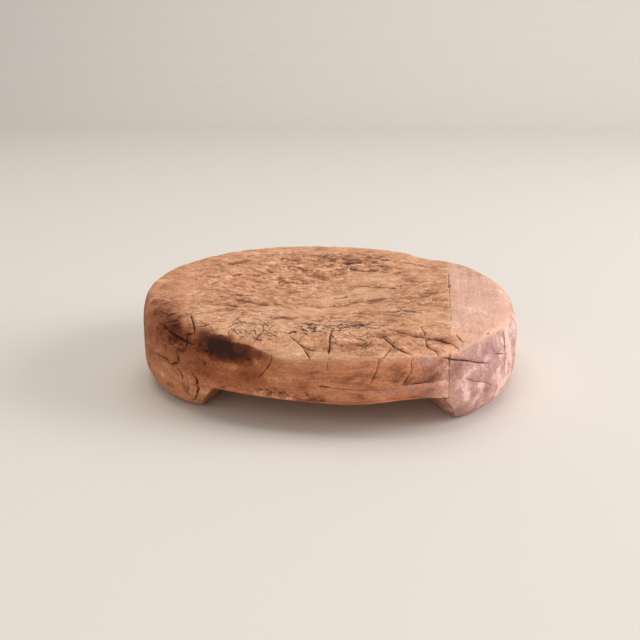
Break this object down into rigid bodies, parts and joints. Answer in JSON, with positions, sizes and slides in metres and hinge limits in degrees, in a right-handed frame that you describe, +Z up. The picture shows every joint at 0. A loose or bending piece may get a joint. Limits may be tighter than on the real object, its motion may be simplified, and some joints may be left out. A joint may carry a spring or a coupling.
{
  "type": "round footed cutting board",
  "caption": "Thick round wooden cutting board with a worn dished top, held between end cleats whose lower parts are the foot rails.",
  "frame": {"origin": "middle of the board's outline seen from above, on the surface that the soles stand on", "axes": "+X towards the right cleat, across the seams; +Y towards the back, along the foot rails; +Z up"},
  "size_m": [0.2804, 0.2606, 0.0706],
  "materials": {
    "slab_wood": "dry, cut and worn",
    "cleat_wood": "dry, worn smooth",
    "peg_wood": "dry, whittled"
  },
  "bodies": {
    "root": {"slab": "slab_wood", "left_cleat": "cleat_wood", "right_cleat": "cleat_wood", "left_peg_front": "peg_wood", "left_peg_middle": "peg_wood", "left_peg_back": "peg_wood", "right_peg_front": "peg_wood", "right_peg_middle": "peg_wood", "right_peg_back": "peg_wood"}
  },
  "joints": []
}
